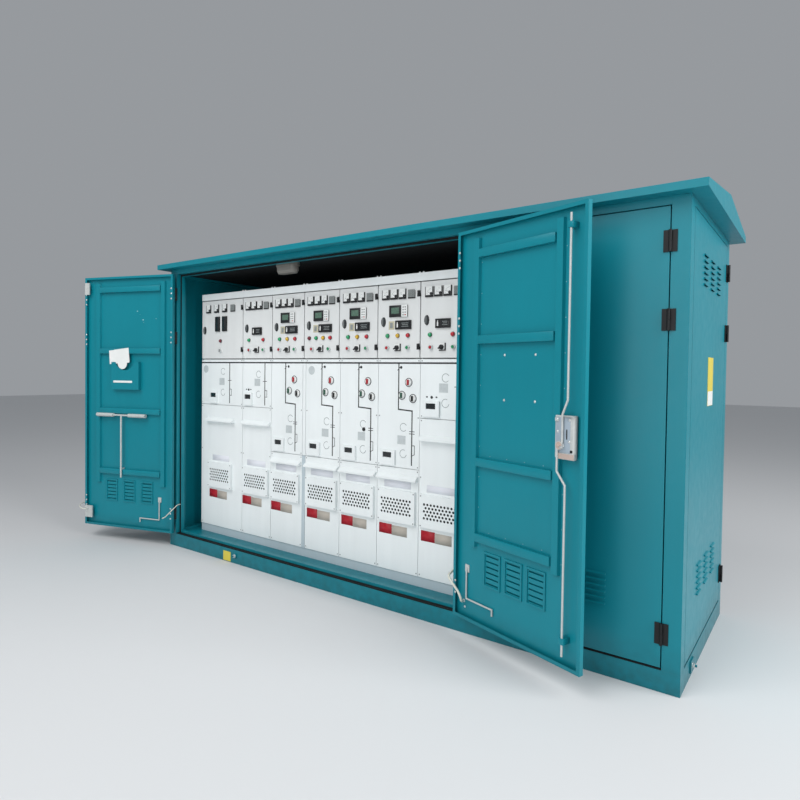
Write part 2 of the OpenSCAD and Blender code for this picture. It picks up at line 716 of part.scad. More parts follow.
// One pressed panel with its rim, in front of the housing
module pressed_panel(i, z0, z1)
    block(bay_x(i) + seam / 2, row_y, z0, bay_width(i) - seam, pan_d, z1 - z0);

module mechanism_panels() color(row_paint) at_corner() {
    for (i = [0 : bay_count])
        pressed_panel(i, panel_split(i) + seam / 2, lv_z0 - seam / 2);
    block(bay_end(2) + seam / 2, row_y, tall_z + seam / 2, joint_w - seam, pan_d,
        lv_z0 - tall_z - seam);
}

module cable_covers() color(row_paint) at_corner()
    for (i = [0 : bay_count]) pressed_panel(i, panel_z0, panel_split(i) - seam / 2);

// A raised box with a staggered field of round holes, open at the back
module vent_box(w) {
    field_w = w - 60;
    rows = 5;
    columns = floor(field_w / hole_pitch);
    difference() {
        cube([w, box_d, box_h]);
        translate([2, 2, 2]) cube([w - 4, box_d, box_h - 4]);
        for (r = [0 : rows - 1], c = [0 : columns - (r % 2 == 0 ? 0 : 1)])
            translate([w / 2 + (c - columns / 2 + (r % 2) / 2) * hole_pitch, -1,
                box_h / 2 + (r - (rows - 1) / 2) * hole_pitch * 0.87])
                rotate([-90, 0, 0]) cylinder(r = hole_r, h = 4);
    }
}

module vent_boxes() color(row_paint) at_corner()
    for (i = [0 : bay_count])
        translate([bay_x(i) + (i == 0 ? 105 : box_inset), row_y - box_d, box_z])
            vent_box(bay_w - 2 * box_inset);

// Outline of a rain hood over the cable space: a sloping top and an open underside
module hood_outline() {
    polygon([[0, 0], [-hood_d, 0], [-hood_d, 10], [0, hood_h]]);
}

module cable_hoods() color(row_paint) at_corner()
    for (i = [0 : bay_count]) {
        drop = is_tall(i) ? tall_hood_drop : short_hood_drop;
        inset = i == 0 ? 80 : 8;
        w = i == 0 ? 330 : bay_w - 2 * inset;
        translate([bay_x(i) + inset, row_y, panel_split(i) - drop]) rotate([90, 0, 90])
            linear_extrude(w) hood_outline();
    }

// Rotary knobs of the switch drives: a collar and a grip bar
module operating_knobs() color(dark) at_corner()
    for (i = [2 : 5], k = knob_places)
        translate([bay_x(i) + k[0], row_y, k[1]]) rotate([90, 0, 0]) {
            cylinder(r = 15, h = 6);
            translate([-4, -13, 0]) cube([8, 26, 16]);
        }

// Raised frames with a sunk window
module position_windows() color(dark) at_corner()
    for (i = [0 : bay_count]) {
        w = i < 2 ? 92 : 120;
        x = i == 0 ? 115 : 24;
        translate([bay_x(i) + x, row_y - 14, panel_split(i) + window_rise]) difference() {
            cube([w, 14, window_h]);
            translate([w / 2 - 34, -1, window_h / 2]) cube([68, 8, 34]);
        }
    }

module middle_door() color(paint) at_corner() hang_right(mid_pin_x, mid_open) {
    leaf(mid_leaf_w, 143);
    rib_ladder(135, mid_leaf_w - 153, 400, leaf_h - 50, [453, 845, 1475, leaf_h - 130]);
    vent_frames(mid_leaf_w, 143);
}

module middle_door_hinges() color(dark) at_corner()
    for (z = hinge_zs)
        translate([mid_pin_x, -pin_out, z]) rotate([0, 0, mid_open]) hinge_moving();

// A folded lock tray on a channel: a rolled flank, a ledge and an ear on top, and a slotted foot
module lock_tray(w, h, d) {
    roll = 14;
    difference() {
        union() {
            linear_extrude(h) {
                square([w - roll, d]);
                translate([w - roll, d - roll]) circle(r = roll);
            }
            translate([20, 0, -4]) cube([w - 20, d + 5, 26]);
        }
        translate([31, d - 5, 25]) cube([63, 12, 13]);
    }
    translate([w - 54, 0, h - 2]) cube([54, d + 14, 3]);
    translate([0, 0, h - 27]) cube([20, d + 4, 17]);
}

// A lock rod with its cranked end at the lock case
module lock_rod(u, end_u, z0, z1, crank_z, case_z) {
    y = leaf_t + 14;
    r = 5;
    rod_z(u, y, min(z0, crank_z), max(z0, crank_z), r);
    rod_z(end_u, y, min(z1, case_z), max(z1, case_z), r);
    hull() {
        translate([u, y, crank_z]) sphere(r = r, $fn = 16);
        translate([end_u, y, case_z]) sphere(r = r, $fn = 16);
    }
}

module middle_door_lock() color(zinc) at_corner() hang_right(mid_pin_x, mid_open) {
    case_u = 675;
    case_z = 934;
    upper_u = 746;
    lower_u = 738;
    hub_u = case_u + 30;
    hub_z = case_z + 56;
    guide_zs = [115, leaf_h - 110];
    case_y = sheet_t + rib_d + 0.1;
    translate([case_u, case_y, case_z]) lock_tray(106, 188, 12);
    translate([hub_u, case_y + 12, hub_z]) rotate([-90, 0, 0]) cylinder(r = 19, h = 14);
    lock_rod(upper_u, hub_u + 14, leaf_h - 45, hub_z + 10, case_z + 257, case_z + 194);
    lock_rod(lower_u, hub_u - 13, 60, hub_z - 12, case_z - 118, case_z - 60);
    block(lower_u - 14, sheet_t, guide_zs[0], 28, leaf_t + 22 - sheet_t, 26);
    block(upper_u - 14, sheet_t, guide_zs[1], 28, leaf_t + 22 - sheet_t, 26);
    hook_stay(88, 108);
    translate([mid_leaf_w - 70, 0, 950]) swing_handle();
}

// One compartment door: a pan with its hinge edge on the right
module compartment_door(i) color(row_paint) at_corner()
    translate([lv_x(i) + lvd_gap / 2, row_y, lvd_z0])
        pan(lv_width(i) - lvd_gap, lvd_h, lvd_t, 12);

// A square instrument with a sunk face
module meter(x, z, size, d) {
    rim = 5;
    translate([x, -d, z]) difference() {
        cube([size[0], d, size[1]]);
        translate([rim, -1, rim]) cube([size[0] - 2 * rim, 3, size[1] - 2 * rim]);
    }
}

// A round fitting on the face of a door
module stud(x, z, r, d) translate([x, 0, z]) rotate([90, 0, 0]) cylinder(r = r, h = d);

// Fittings of the wide first door: meters, two tall breakers, a lamp and a switch
module wide_fittings() {
    for (k = [0 : 2])
        meter(61 + k * 1.56 * meter_pitch, meter_z, meter_size, 8);
    for (x = [177, 262])
        meter(x, breaker_z, [55, 116], 10);
    stud(40, lock_z, 11, 7);
    stud(238, lamp_z, 10, 10);
    stud(238, switch_z, 12, 14);
}

// Fittings of a narrow door: meters, a relay, lamps and switches, and a screen on four of them
module narrow_fittings(i) {
    lamp_xs = i == 3 ? [51, 116, 181, 246] : is_tall(i) ? [80, 158, 236] : [72, 230];
    relay_x = is_tall(i) ? 143 : 112;
    relay_w = is_tall(i) ? 118 : 102;
    for (k = [0 : 2])
        meter(36 + k * meter_pitch, meter_z, meter_size, 8);
    meter(relay_x, relay_z, [relay_w, 55], 10);
    if (is_tall(i)) meter(94, screen_z, [138, 72], 8);
    stud(47, lock_z, 11, 7);
    for (x = lamp_xs)
        stud(x, lamp_z, 10, 10);
    for (k = [0 : 2])
        stud(80 + k * 78, switch_z, 12, 14);
}

module instruments(i) color(dark) at_corner() {
    translate([lv_x(i), row_y, 0]) {
        meter(i == 0 ? 360 : lv_w - 91, meter_z, [52, 48], 6);
        if (i == 0) wide_fittings();
        else narrow_fittings(i);
    }
    compartment_hinge_moving(i);
}

base_frame();
floor_plate();
posts();
front_header();
front_sill();
door_gaskets();
left_wall();
left_end_door();
right_wall();
right_end_door();
right_end_hinges();
right_marker_plate();
rear_frame();
rear_doors();
ceiling();
roof();
interior_lamp();
surface_hinges();
right_door();
left_door();
folding_door();
left_door_fittings();
document_pocket();
earth_terminals();
marker_plates();
earth_leads();
row_plinth();
row_left();
row_right();
low_voltage_housing();
compartment_hinges();
mechanism_panels();
cable_covers();
vent_boxes();
cable_hoods();
operating_knobs();
position_windows();
middle_door();
middle_door_hinges();
middle_door_lock();
compartment_door(0);  // compartment_door_1
compartment_door(1);  // compartment_door_2
compartment_door(2);  // compartment_door_3
compartment_door(3);  // compartment_door_4
compartment_door(4);  // compartment_door_5
compartment_door(5);  // compartment_door_6
compartment_door(6);  // compartment_door_7
instruments(0);  // instruments_1
instruments(1);  // instruments_2
instruments(2);  // instruments_3
instruments(3);  // instruments_4
instruments(4);  // instruments_5
instruments(5);  // instruments_6
instruments(6);  // instruments_7
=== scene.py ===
import math

import bmesh
import bpy
from mathutils import Matrix, Vector


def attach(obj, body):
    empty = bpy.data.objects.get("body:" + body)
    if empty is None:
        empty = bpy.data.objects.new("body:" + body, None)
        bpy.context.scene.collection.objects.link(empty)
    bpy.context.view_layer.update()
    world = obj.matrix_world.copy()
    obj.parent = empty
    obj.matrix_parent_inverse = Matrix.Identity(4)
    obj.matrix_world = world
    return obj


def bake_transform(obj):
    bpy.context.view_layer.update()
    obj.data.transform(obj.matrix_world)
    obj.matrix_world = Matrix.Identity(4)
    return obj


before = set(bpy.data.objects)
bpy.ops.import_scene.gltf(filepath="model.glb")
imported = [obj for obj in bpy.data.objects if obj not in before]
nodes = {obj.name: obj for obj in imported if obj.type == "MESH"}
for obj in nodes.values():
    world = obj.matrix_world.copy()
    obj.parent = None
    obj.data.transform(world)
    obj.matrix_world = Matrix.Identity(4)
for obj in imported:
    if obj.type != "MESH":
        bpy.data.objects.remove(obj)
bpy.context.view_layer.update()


# The floor and the light
# A pale studio floor carries the cabinet. Large soft lamps stand in for an open sky: the strongest one
# is on the right, where the end wall is the palest side, and two weaker ones fill the front.
def linear(colour):
    """An sRGB hex colour as linear red, green, blue and alpha."""
    parts = [int(colour[i:i + 2], 16) / 255 for i in (1, 3, 5)]
    return [c / 12.92 if c <= 0.04045 else ((c + 0.055) / 1.055) ** 2.4 for c in parts] + [1]


def add_node(tree, kind, inputs=None, **settings):
    """Adds one node to a material, with its settings, its values and its links."""
    node = tree.nodes.new(kind)
    for name, value in settings.items():
        setattr(node, name, value)
    for name, value in (inputs or {}).items():
        if isinstance(value, bpy.types.NodeSocket):
            tree.links.new(value, node.inputs[name])
        else:
            node.inputs[name].default_value = value
    return node


def start_material(name):
    """An empty material with its output node."""
    material = bpy.data.materials.new(name)
    material.use_nodes = True
    tree = material.node_tree
    tree.nodes.clear()
    return material, tree, tree.nodes.new("ShaderNodeOutputMaterial")


floor_material, tree, output = start_material("pale_floor")
shader = add_node(tree, "ShaderNodeBsdfPrincipled", {"Base Color": linear("#d9dadb"), "Roughness": 0.9})
tree.links.new(shader.outputs[0], output.inputs[0])

floor_size = 60.0
bm = bmesh.new()
bmesh.ops.create_grid(bm, x_segments=1, y_segments=1, size=floor_size / 2)
mesh = bpy.data.meshes.new("floor")
bm.to_mesh(mesh)
bm.free()
floor = bpy.data.objects.new("floor", mesh)
mesh.materials.append(floor_material)
bpy.context.scene.collection.objects.link(floor)

world = bpy.data.worlds.new("sky")
bpy.context.scene.world = world
world.use_nodes = True
world.node_tree.nodes["Background"].inputs["Color"].default_value = linear("#e3e8ee")
world.node_tree.nodes["Background"].inputs["Strength"].default_value = 0.4

lamps = {
    "sky_right": ((6.5, -0.5, 4.2), 4.5, 340),
    "sky_front": ((-1.0, -5.2, 6.8), 5.0, 290),
    "sky_low_front": ((1.0, -7.0, 2.0), 4.0, 90),
}
for name, (place, size, power) in lamps.items():
    light = bpy.data.lights.new(name, "AREA")
    light.size = size
    light.energy = power
    lamp = bpy.data.objects.new(name, light)
    lamp.location = place
    aim = Vector((0, 0, 1.1)) - lamp.location
    lamp.rotation_euler = aim.to_track_quat("-Z", "Y").to_euler()
    bpy.context.scene.collection.objects.link(lamp)


# The camera
# It stands in front of the right half at eye height and looks back along the row, as in the photograph.
camera_place = Vector((2.403, -3.408, 1.415))
yaw, pitch, roll = -0.6217, -0.0242, 0.0131
picture_width = 800
focal_pixels = 598.87
centre_pixel = (401.53, 386.26)

camera_data = bpy.data.cameras.new("camera")
camera_data.sensor_width = 36
camera_data.lens = focal_pixels / picture_width * camera_data.sensor_width
camera_data.shift_x = (picture_width / 2 - centre_pixel[0]) / picture_width
camera_data.shift_y = (centre_pixel[1] - picture_width / 2) / picture_width
ahead = Vector((math.sin(yaw) * math.cos(pitch), math.cos(yaw) * math.cos(pitch), math.sin(pitch)))
level = Vector((math.cos(yaw), -math.sin(yaw), 0))
upright = level.cross(ahead)
across = math.cos(roll) * level + math.sin(roll) * upright
above = math.cos(roll) * upright - math.sin(roll) * level
camera = bpy.data.objects.new("camera", camera_data)
turn = Matrix((across, above, -ahead)).transposed()
camera.matrix_world = Matrix.Translation(camera_place) @ turn.to_4x4()
bpy.context.scene.collection.objects.link(camera)
bpy.context.scene.camera = camera
bpy.context.scene.view_settings.view_transform = "Standard"


# Housing of folded steel sheet
# Posts, walls, doors, plinth and roof are folded from 2 mm sheet and welded, then coated with a
# blue-green polyester powder. It is satin, with fine orange peel, and darker in patches towards the
# bottom.
def paint(names, material):
    """Gives a finish to CAD nodes."""
    for name in names:
        for place in nodes[name].material_slots:
            place.material = material


def powder_coat(name, colour, roughness, peel, low_colour="#8a8f88", low_amount=0.0):
    """Baked powder paint on sheet steel: slightly uneven colour, orange peel, soft folded edges."""
    material, tree, output = start_material(name)
    where = add_node(tree, "ShaderNodeTexCoord").outputs["Object"]
    broad = add_node(tree, "ShaderNodeTexNoise", {"Vector": where, "Scale": 1.7, "Detail": 3.0})
    stretched = add_node(tree, "ShaderNodeMapping", {"Vector": where, "Scale": (14, 14, 0.9)})
    streaks = add_node(tree, "ShaderNodeTexNoise",
        {"Vector": stretched.outputs[0], "Scale": 1.0, "Detail": 4.0})
    lightness = add_node(tree, "ShaderNodeMapRange",
        {0: broad.outputs["Fac"], 1: 0.3, 2: 0.7, 3: 0.96, 4: 1.03})
    streaked = add_node(tree, "ShaderNodeMapRange",
        {0: streaks.outputs["Fac"], 1: 0.3, 2: 0.7, 3: 0.98, 4: 1.02})
    both = add_node(tree, "ShaderNodeMath", {0: lightness.outputs[0], 1: streaked.outputs[0]},
        operation="MULTIPLY")
    tinted = add_node(tree, "ShaderNodeVectorMath", {0: linear(colour)[:3], "Scale": both.outputs[0]},
        operation="SCALE")
    height = add_node(tree, "ShaderNodeSeparateXYZ", {0: where})
    # Towards the bottom the colour is mixed in patches with a second colour; on the housing that is a
    # dark blue-green.
    low_down = add_node(tree, "ShaderNodeMapRange",
        {0: height.outputs["Z"], 1: 0.0, 2: 0.22, 3: low_amount, 4: 0.0})
    patches = add_node(tree, "ShaderNodeTexNoise", {"Vector": where, "Scale": 22.0, "Detail": 5.0})
    low_patches = add_node(tree, "ShaderNodeMath", {0: low_down.outputs[0], 1: patches.outputs["Fac"]},
        operation="MULTIPLY")
    coat = add_node(tree, "ShaderNodeMix",
        {0: low_patches.outputs[0], 6: tinted.outputs[0], 7: linear(low_colour)}, data_type="RGBA")
    grain = add_node(tree, "ShaderNodeTexNoise",
        {"Vector": where, "Scale": 1 / peel, "Detail": 2.0, "Roughness": 0.4})
    folded = add_node(tree, "ShaderNodeBevel", {"Radius": 0.0018}, samples=4)
    bump = add_node(tree, "ShaderNodeBump", {"Strength": 0.12, "Distance": 0.0004,
        "Height": grain.outputs["Fac"], "Normal": folded.outputs[0]})
    sheen = add_node(tree, "ShaderNodeMapRange",
        {0: patches.outputs["Fac"], 1: 0.3, 2: 0.7, 3: roughness - 0.03, 4: roughness + 0.04})
    shader = add_node(tree, "ShaderNodeBsdfPrincipled", {"Base Color": coat.outputs[2],
        "Roughness": sheen.outputs[0], "Normal": bump.outputs[0], "Specular IOR Level": 0.32})
    tree.links.new(shader.outputs[0], output.inputs[0])
    return material


orange_peel = 0.004
teal_coat = powder_coat("blue_green_powder_coat", "#0b8392", 0.33, orange_peel, "#1c3439", 0.75)
paint(["base_frame", "floor_plate", "posts", "front_header", "front_sill", "left_wall", "right_wall",
    "left_end_door", "right_end_door", "rear_frame", "rear_doors", "roof", "right_door", "left_door",
    "folding_door", "document_pocket", "middle_door", "earth_terminals"], teal_coat)


# Ceiling, painted near black as painted shade
# The underside of the roof is coloured near black to stand for the shade under the roof, which shows as
# a black strip over the row.
ceiling_shade_black = powder_coat("ceiling_painted_shade", "#15181a", 0.8, 0.006)
paint(["ceiling"], ceiling_shade_black)


# Rubber seals
# Black sponge rubber, glued in strips round each door opening and along the sill.
rubber = powder_coat("black_sponge_rubber", "#101112", 0.75, 0.003)
paint(["door_gaskets"], rubber)


# Hinges
# Black die-cast surface hinges, screwed on in pairs of plates over a steel pin.
hinge_black = powder_coat("black_diecast_zinc", "#17191b", 0.5, 0.002)
paint(["surface_hinges", "middle_door_hinges", "right_end_hinges", "compartment_hinges"], hinge_black)


# Plated pieces
# The gear of the leaves is zinc-plated steel with a faint mottled spangle. It has the chalky look of
# old plating, with little metal sheen left.
def plated_steel(name, colour, roughness, spangle, metal=0.75):
    """Zinc-plated or brushed steel with a mottled surface."""
    material, tree, output = start_material(name)
    where = add_node(tree, "ShaderNodeTexCoord").outputs["Object"]
    cells = add_node(tree, "ShaderNodeTexVoronoi", {"Vector": where, "Scale": 1 / spangle})
    cloud = add_node(tree, "ShaderNodeTexNoise", {"Vector": where, "Scale": 9.0, "Detail": 4.0})
    mottle = add_node(tree, "ShaderNodeMapRange",
        {0: cells.outputs["Distance"], 1: 0.0, 2: 1.0, 3: 0.94, 4: 1.04})
    tinted = add_node(tree, "ShaderNodeVectorMath", {0: linear(colour)[:3], "Scale": mottle.outputs[0]},
        operation="SCALE")
    dull = add_node(tree, "ShaderNodeMapRange",
        {0: cloud.outputs["Fac"], 1: 0.3, 2: 0.7, 3: roughness - 0.06, 4: roughness + 0.1})
    edge = add_node(tree, "ShaderNodeBevel", {"Radius": 0.0012}, samples=4)
    bump = add_node(tree, "ShaderNodeBump", {"Strength": 0.08, "Distance": 0.0003,
        "Height": cloud.outputs["Fac"], "Normal": edge.outputs[0]})
    shader = add_node(tree, "ShaderNodeBsdfPrincipled", {"Base Color": tinted.outputs[0],
        "Metallic": metal, "Roughness": dull.outputs[0], "Normal": bump.outputs[0]})
    tree.links.new(shader.outputs[0], output.inputs[0])
    return material


chalky_zinc = plated_steel("chalky_old_zinc_plating", "#ccd0ce", 0.5, 0.012, 0.25)
paint(["left_door_fittings", "middle_door_lock"], chalky_zinc)


# Switchgear row
# Seven bays with pressed sheet fronts in a light grey-white powder coat, a shade greyer on the
# doors of the low voltage boxes.
row_white = powder_coat("grey_white_powder_coat", "#f1f6f6", 0.42, 0.003)
plinth_grey = powder_coat("pale_blue_grey_powder_coat", "#bfccd2", 0.45, 0.003)
paint(["row_plinth"], plinth_grey)
door_grey = powder_coat("light_grey_powder_coat", "#e4e6e5", 0.42, 0.003)
paint(["row_left", "row_right", "mechanism_panels", "cable_covers", "vent_boxes", "cable_hoods",
    "position_windows", "low_voltage_housing"], row_white)
bays = range(7)
paint([f"compartment_door_{i + 1}" for i in bays], door_grey)

plate_yellow = powder_coat("yellow_film_plate", "#dccb50", 0.35, 0.003)
paint(["marker_plates", "right_marker_plate"], plate_yellow)
lamp_white = powder_coat("aged_milky_lamp_cover", "#86837d", 0.35, 0.004)
paint(["interior_lamp"], lamp_white)
lead_cover = powder_coat("cream_lead_cover", "#dcdccf", 0.4, 0.002)
paint(["earth_leads"], lead_cover)


# Bolts and screws
# Zinc-plated steel with pressed domed heads. They hold the hinges, the channels and the bolt plates of
# the leaves, and come in rows of three at each hinge.
to_metres = Matrix.Diagonal((0.001, 0.001, 0.001, 1))
corner = Matrix.Translation((-1.9, -0.58, 0)) @ to_metres
facing_front = Matrix.Rotation(math.radians(90), 4, "X")
facing_in = Matrix.Rotation(math.radians(180), 4, "Z") @ facing_front
pin_out, half_gap = 12, 2.5


def hang(parent, pin_x, degrees, side=1):
    """The frame of a leaf, in millimetres, turned about its pin; side is -1 for a right-hand pin."""
    return (parent @ Matrix.Translation((pin_x, -pin_out, 0))
        @ Matrix.Rotation(math.radians(degrees), 4, "Z")
        @ Matrix.Translation((side * half_gap, pin_out, 0)))


left_leaf = hang(corner, 82.5, -163)
folding_leaf = hang(left_leaf, 882.5, -145)
middle_leaf = hang(corner, 2680.5, 162, -1)


def plate(wide, high, thick, soft=0.4):
    """A flat plate in millimetres: it lies on its back and its edges are softened."""
    shape = bmesh.new()
    verts = bmesh.ops.create_cube(shape, size=1)["verts"]
    bmesh.ops.scale(shape, vec=(wide, high, thick), verts=verts)
    bmesh.ops.translate(shape, vec=(0, 0, thick / 2), verts=verts)
    if soft:
        bmesh.ops.bevel(shape, geom=shape.edges[:], offset=soft, segments=2, profile=0.5,
            affect="EDGES", material=-1)
    return shape


def turned(profile, steps=24):
    """A turned piece in millimetres, from pairs of radius and height."""
    shape = bmesh.new()
    verts = [shape.verts.new((radius, 0, height)) for radius, height in profile]
    edges = [shape.edges.new(pair) for pair in zip(verts, verts[1:])]
    bmesh.ops.spin(shape, geom=verts + edges, cent=(0, 0, 0), axis=(0, 0, 1), angle=math.tau,
        steps=steps, use_merge=True)
    bmesh.ops.remove_doubles(shape, verts=shape.verts[:], dist=0.001)
    bmesh.ops.recalc_face_normals(shape, faces=shape.faces[:])
    return shape


def put(piece, shape, place, finish=0):
    """Adds a shape to a piece at its place, in one of the piece's finishes."""
    for face in shape.faces:
        face.material_index = finish
        face.smooth = True
    mesh = bpy.data.meshes.new("shape")
    shape.to_mesh(mesh)
    mesh.transform(place)
    piece.from_mesh(mesh)
    bpy.data.meshes.remove(mesh)


def fit(name, piece, finishes, body="cabinet"):
    """Turns a finished mesh into a piece that rides on a body."""
    mesh = bpy.data.meshes.new(name)
    piece.to_mesh(mesh)
    piece.free()
    mesh.set_sharp_from_angle(angle=math.radians(32))
    for finish in finishes:
        mesh.materials.append(finish)
    made = bpy.data.objects.new(name, mesh)
    bpy.context.scene.collection.objects.link(made)
    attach(made, body)
    return made


def at(frame_of_piece, x, y, z, facing=facing_front, turn=0):
    """A place on a face: x and z in millimetres along it, y its depth, turned in its own plane."""
    return (frame_of_piece @ Matrix.Translation((x, y, z)) @ facing
        @ Matrix.Rotation(math.radians(turn), 4, "Z"))


sheet, hinge_face = 2, 25
bright_zinc = plated_steel("bright_zinc_plating", "#dfe3e2", 0.3, 0.004)
screw = turned([(0, 3.6), (2.6, 3.3), (4.6, 2.0), (5.2, 0.6), (6.6, 0.5), (6.8, 0)], 14)
three_screws = (-40, 0, 40)
bolts = bmesh.new()
for z in (2006, 1661, 266):
    for step in three_screws:
        put(bolts, screw, at(left_leaf, 14, hinge_face, z + step, facing_in))
for z in (1977, 1649, 312):
    for step in three_screws:
        put(bolts, screw, at(left_leaf, 866, hinge_face, z + step, facing_in))
        put(bolts, screw, at(folding_leaf, 14, hinge_face, z + step, facing_in))
fit("left_leaf_screws", bolts, [bright_zinc])

bolts = bmesh.new()
for z in (2009, 1662):
    for step in three_screws:
        put(bolts, screw, at(middle_leaf, -14, hinge_face, z + step, facing_in))
for u, out, z in ((16, hinge_face, 298), (16, hinge_face, 235), (70, sheet, 167)):
    put(bolts, screw, at(middle_leaf, -u, out, z, facing_in))
for u, z in ((330, 1504), (527, 1503), (330, 1281), (528, 1283)):
    put(bolts, screw, at(middle_leaf, -u, sheet, z, facing_in))
fit("middle_leaf_screws", bolts, [bright_zinc], "middle_leaf")


# Papers and the strip of the document pocket
# Two folded sheets of white paper stick out of the pocket, and a white plastic strip is fixed across
# its front as a finger grip.
def disc(half_wide, half_high, thick, steps, taper=(1, 1)):
    """A round or oval plate in millimetres, with its upper face made smaller by a taper."""
    shape = bmesh.new()
    bmesh.ops.create_circle(shape, cap_ends=True, segments=steps, radius=1)
    bmesh.ops.scale(shape, vec=(half_wide, half_high, 1), verts=shape.verts[:])
    raised = bmesh.ops.extrude_face_region(shape, geom=shape.faces[:])["geom"]
    top = [v for v in raised if isinstance(v, bmesh.types.BMVert)]
    bmesh.ops.translate(shape, vec=(0, 0, thick), verts=top)
    bmesh.ops.scale(shape, vec=(*taper, 1), verts=top)
    bmesh.ops.recalc_face_normals(shape, faces=shape.faces[:])
    return shape


paper = powder_coat("white_office_paper", "#eef0ee", 0.85, 0.002)
papers = bmesh.new()
for lean, depth, up in ((6, 26.5, 0), (4, 28.5, -5)):
    sheet_shape = bmesh.new()
    bmesh.ops.create_grid(sheet_shape, x_segments=16, y_segments=10, size=1)
    bmesh.ops.scale(sheet_shape, vec=(101, 56, 1), verts=sheet_shape.verts[:])
    for vert in sheet_shape.verts:
        vert.co.z = 1.2 * math.sin(vert.co.x / 60)
    bmesh.ops.solidify(sheet_shape, geom=sheet_shape.faces[:], thickness=0.5)
    put(papers, sheet_shape, at(left_leaf, 522, depth, 1514 + up, facing_in, lean))
put(papers, disc(47, 47, 0.6, 40), at(left_leaf, 488, 29.5, 1454, facing_in))
fit("pocket_papers", papers, [paper])
strip = bmesh.new()
put(strip, plate(190, 17, 3, 1.2), at(left_leaf, 481, 32.2, 1305, facing_in))
fit("pocket_strip", strip, [paper])


# Paint marks
# A few small chips in the upper sheet of the left leaf, touched up in a paler blue-green. The dabs
# stand slightly proud of the sheet.
touch_up = powder_coat("pale_touch_up_paint", "#9fd0d3", 0.5, 0.002)
splash = turned([(0, 0.7), (0.7, 0.5), (1, 0)], 12)
marks = bmesh.new()
for u, z, size in ((362, 1876, 6), (305, 1805, 7), (300, 1784, 3), (178, 1812, 4), (336, 1848, 2)):
    put(marks, splash, at(left_leaf, u, sheet, z, facing_in) @ Matrix.Diagonal((size, size * 0.7, 1, 1)))
fit("left_leaf_paint_marks", marks, [touch_up])


# Low voltage doors
# Each box has a pressed door with meters, a protection relay with its display, a lock, indicator lamps
# and switches. The bodies are black moulded plastic, clipped in from the front.
door_lefts = (140, 645, 971, 1297, 1623, 1949, 2275)
row_face = 190
small_leaves = [f"compartment_leaf_{i + 1}" for i in bays]


def on_door(i, x, z, out=0, turn=0):
    """A place on a low voltage door: x from its left edge, z absolute, out in front of the sheet."""
    return at(corner, door_lefts[i] + x, row_face - out, z, facing_front, turn)


def moulded_plastic(name, colour, roughness, coat=0.0):
    """Injection moulded plastic: an even colour, a fine spark-eroded grain and a slight gloss."""
    material, tree, output = start_material(name)
    where = add_node(tree, "ShaderNodeTexCoord").outputs["Object"]
    cloud = add_node(tree, "ShaderNodeTexNoise", {"Vector": where, "Scale": 60.0, "Detail": 3.0})
    shade = add_node(tree, "ShaderNodeMapRange",
        {0: cloud.outputs["Fac"], 1: 0.3, 2: 0.7, 3: 0.93, 4: 1.05})
    tinted = add_node(tree, "ShaderNodeVectorMath", {0: linear(colour)[:3], "Scale": shade.outputs[0]},
        operation="SCALE")
    grain = add_node(tree, "ShaderNodeTexNoise", {"Vector": where, "Scale": 900.0, "Detail": 1.0})
    rounded = add_node(tree, "ShaderNodeBevel", {"Radius": 0.0006}, samples=4)
    bump = add_node(tree, "ShaderNodeBump", {"Strength": 0.1, "Distance": 0.0001,
        "Height": grain.outputs["Fac"], "Normal": rounded.outputs[0]})
    shader = add_node(tree, "ShaderNodeBsdfPrincipled", {"Base Color": tinted.outputs[0],
        "Roughness": roughness, "Normal": bump.outputs[0], "Coat Weight": coat})
    tree.links.new(shader.outputs[0], output.inputs[0])
    return material


black_plastic = moulded_plastic("black_moulded_abs", "#1b1c1e", 0.42)
paint([f"instruments_{i + 1}" for i in bays] + ["operating_knobs"], black_plastic)
white_plastic = moulded_plastic("white_moulded_abs", "#eef0ee", 0.4)
grey_plastic = moulded_plastic("grey_moulded_abs", "#8f9493", 0.5)
dark_grey_plastic = moulded_plastic("dark_grey_nylon", "#2d3133", 0.5)
beige_plastic = moulded_plastic("beige_engraving_laminate", "#c6c0a6", 0.5)

# Moving-coil meters: a white card behind glass, a printed arc and a needle pivoted in the lower corner
def printed_arc(start, end, degrees, steps, thick):
    """A flat arc: an edge along x, from start to end, swept about the origin."""
    shape = bmesh.new()
    verts = [shape.verts.new((x, 0, 0)) for x in (start, end)]
    edge = shape.edges.new(verts)
    bmesh.ops.spin(shape, geom=verts + [edge], cent=(0, 0, 0), axis=(0, 0, 1),
        angle=math.radians(degrees), steps=steps)
    bmesh.ops.solidify(shape, geom=shape.faces[:], thickness=thick)
    return shape


card = plate(46, 52, 0.6, 0)
arc = printed_arc(-31, -29.6, -90, 14, 0.15)
needle = plate(30, 1.3, 0.3, 0)
bmesh.ops.translate(needle, vec=(-15, 0, 0), verts=needle.verts[:])
hub = turned([(0, 1.8), (8.5, 1.5), (9.5, 0)], 20)
tick = plate(4.5, 0.9, 0.15, 0)
bmesh.ops.translate(tick, vec=(-28, 0, 0), verts=tick.verts[:])


def add_meter(piece, i, x, z):
    """One meter, given by the middle of its card."""
    put(piece, card, on_door(i, x, z, 7.6), 0)
    for shape, turn, out in ((arc, 0, 8.2), (needle, -24, 8.25)):
        put(piece, shape, on_door(i, x + 15, z - 18, out, turn), 1)
    for k in range(3):
        put(piece, tick, on_door(i, x + 15, z - 18, 8.2, -38 * k), 1)
    put(piece, hub, on_door(i, x + 15, z - 18, 8.1), 1)


meter_middle = 1902
for i in bays:
    lefts = (61, 160.8, 260.7) if i == 0 else (36, 100, 164)
    meters = bmesh.new()
    for x in lefts:
        add_meter(meters, i, x + 28, meter_middle)
    fit(f"meter_cards_{i + 1}", meters, [white_plastic, black_plastic], small_leaves[i])

